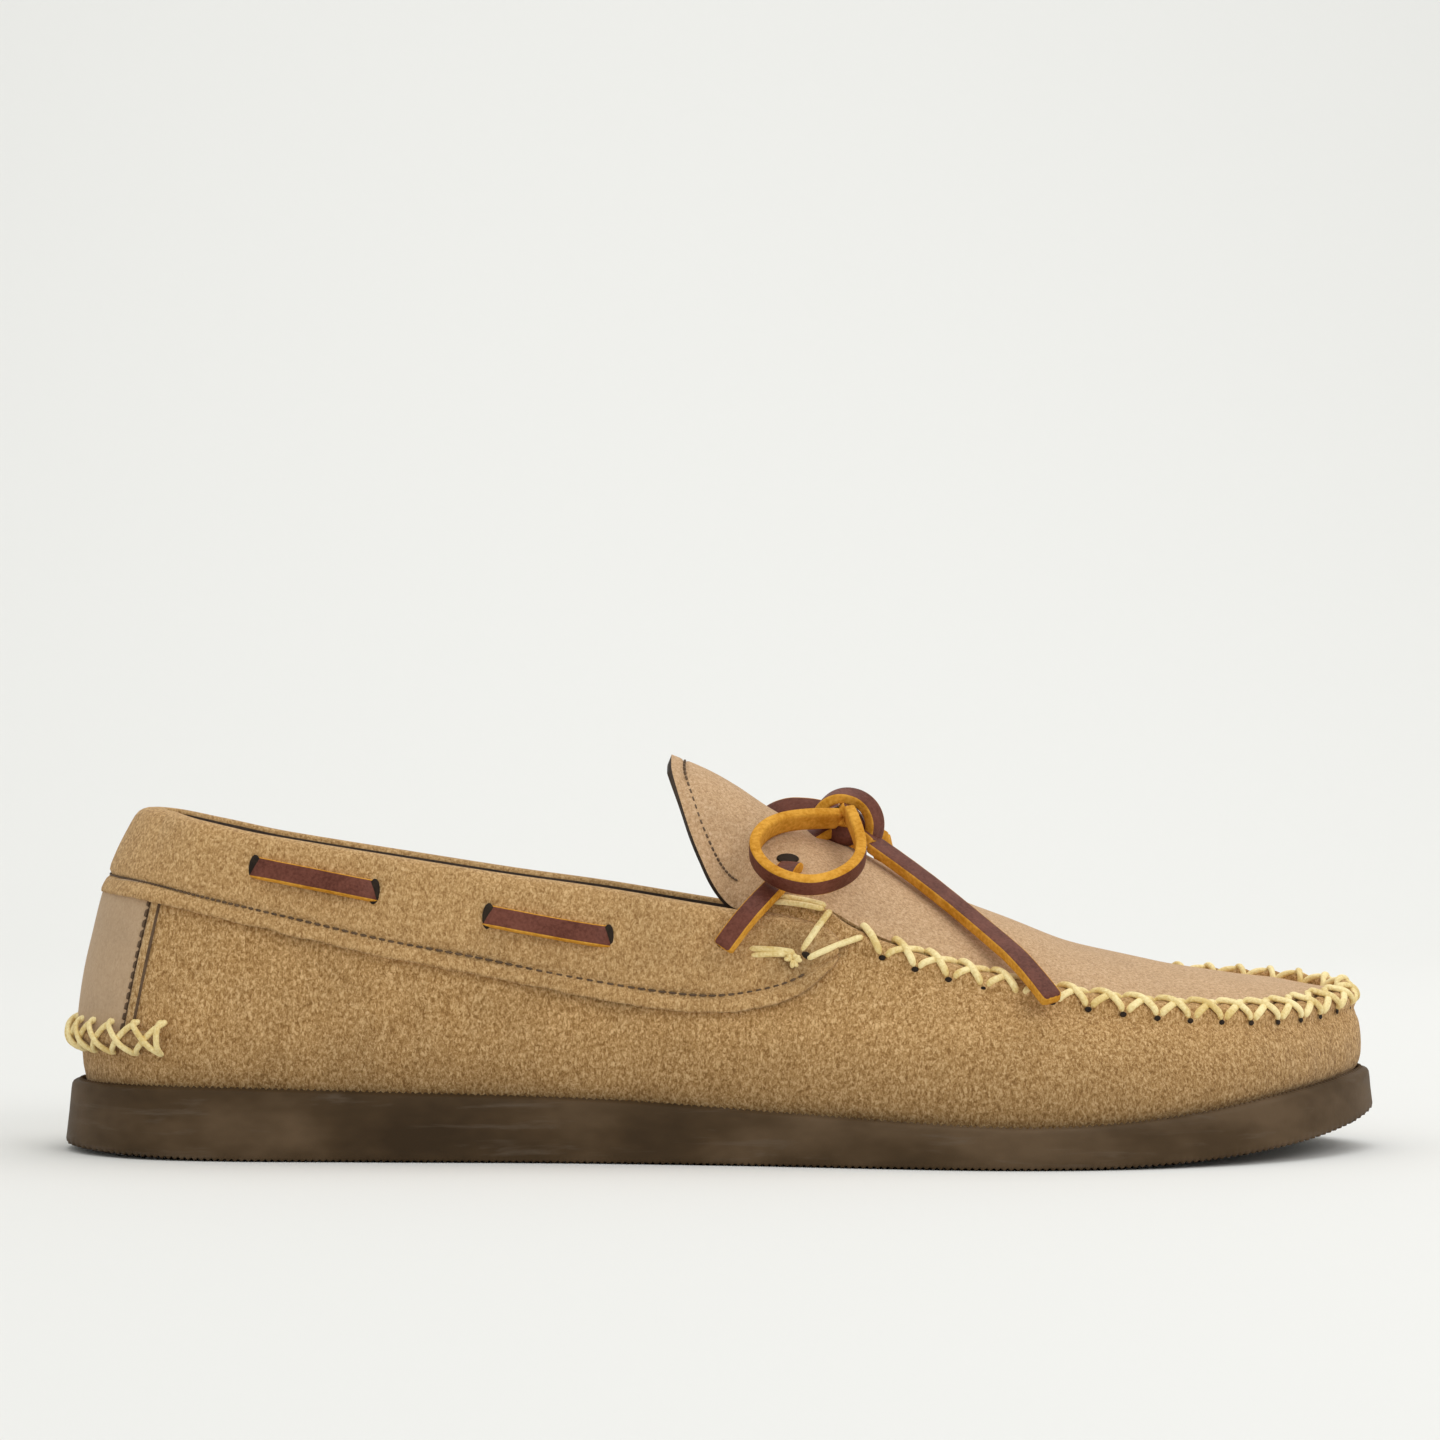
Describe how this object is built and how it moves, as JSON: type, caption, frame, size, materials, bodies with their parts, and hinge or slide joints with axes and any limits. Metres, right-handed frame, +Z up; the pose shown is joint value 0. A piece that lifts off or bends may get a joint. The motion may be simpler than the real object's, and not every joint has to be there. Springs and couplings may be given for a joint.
{
  "type": "moccasin",
  "caption": "Hand-sewn suede camp moccasin for the right foot, with a rubber sole, raised cross-stitched apron seam, laced collar and a leather bow",
  "frame": {"origin": "on the tread's flat middle, where the shoe rests on the floor", "axes": "+X towards the toe, +Y towards the inner side of the foot, +Z up"},
  "size_m": [0.3016, 0.1062, 0.0908],
  "materials": {
    "outsole": "matt moulded rubber, siped underneath",
    "footbed": "smooth leather over foam",
    "vamp": "rough suede",
    "heel_counter": "stiffened board",
    "heel_patch": "worn smooth suede",
    "collar": "rough suede",
    "collar_lining": "dark smooth leather",
    "plug": "fine suede",
    "tongue": "fine suede",
    "tongue_lining": "dark smooth leather",
    "plug_cross_stitching": "waxed thread",
    "heel_cross_stitching": "waxed thread",
    "seam_start_stitching": "waxed thread",
    "collar_stitching": "fine dark thread",
    "heel_patch_stitching": "fine dark thread",
    "tongue_stitching": "fine dark thread",
    "collar_lace": "grain leather thong",
    "lace_under_plug": "grain leather thong",
    "outer_front_lace": "grain leather thong",
    "inner_front_lace": "grain leather thong",
    "bow_knot": "grain leather thong",
    "outer_bow_loop": "grain leather thong",
    "inner_bow_loop": "grain leather thong",
    "outer_lace_tail": "grain leather thong",
    "inner_lace_tail": "grain leather thong"
  },
  "bodies": {
    "shoe": {"outsole": "outsole", "footbed": "footbed", "vamp": "vamp", "heel_counter": "heel_counter", "heel_patch": "heel_patch", "collar": "collar", "collar_lining": "collar_lining", "plug": "plug", "plug_cross_stitching": "plug_cross_stitching", "heel_cross_stitching": "heel_cross_stitching", "seam_start_stitching": "seam_start_stitching", "collar_stitching": "collar_stitching", "heel_patch_stitching": "heel_patch_stitching", "collar_lace": "collar_lace", "lace_under_plug": "lace_under_plug", "outer_front_lace": "outer_front_lace", "inner_front_lace": "inner_front_lace", "bow_knot": "bow_knot"},
    "tongue_flap": {"tongue": "tongue", "tongue_lining": "tongue_lining", "tongue_stitching": "tongue_stitching"},
    "outer_loop": {"outer_bow_loop": "outer_bow_loop"},
    "inner_loop": {"inner_bow_loop": "inner_bow_loop"},
    "outer_tail": {"outer_lace_tail": "outer_lace_tail"},
    "inner_tail": {"inner_lace_tail": "inner_lace_tail"}
  },
  "joints": [
    {"name": "tongue_fold", "type": "hinge", "parent": "shoe", "child": "tongue_flap", "pos_m": [0.0055, 0, 0.071], "axis": [0, 1, 0], "range_deg": [-12, 12], "stiffness_Nm_per_rad": 0.02},
    {"name": "outer_loop_lift", "type": "hinge", "parent": "shoe", "child": "outer_loop", "pos_m": [0.028, -0.009, 0.077], "axis": [-0.9404, 0.3401, 0], "range_deg": [0, 35], "stiffness_Nm_per_rad": 0.003},
    {"name": "inner_loop_lift", "type": "hinge", "parent": "shoe", "child": "inner_loop", "pos_m": [0.028, 0.009, 0.077], "axis": [0.9404, 0.3401, 0], "range_deg": [0, 35], "stiffness_Nm_per_rad": 0.003},
    {"name": "outer_tail_lift", "type": "hinge", "parent": "shoe", "child": "outer_tail", "pos_m": [0.0355, -0.0072, 0.0702], "axis": [-0.722, -0.6919, 0], "range_deg": [0, 50], "stiffness_Nm_per_rad": 0.003},
    {"name": "inner_tail_lift", "type": "hinge", "parent": "shoe", "child": "inner_tail", "pos_m": [0.037, 0.0075, 0.0712], "axis": [0.957, -0.29, 0], "range_deg": [0, 50], "stiffness_Nm_per_rad": 0.003}
  ]
}
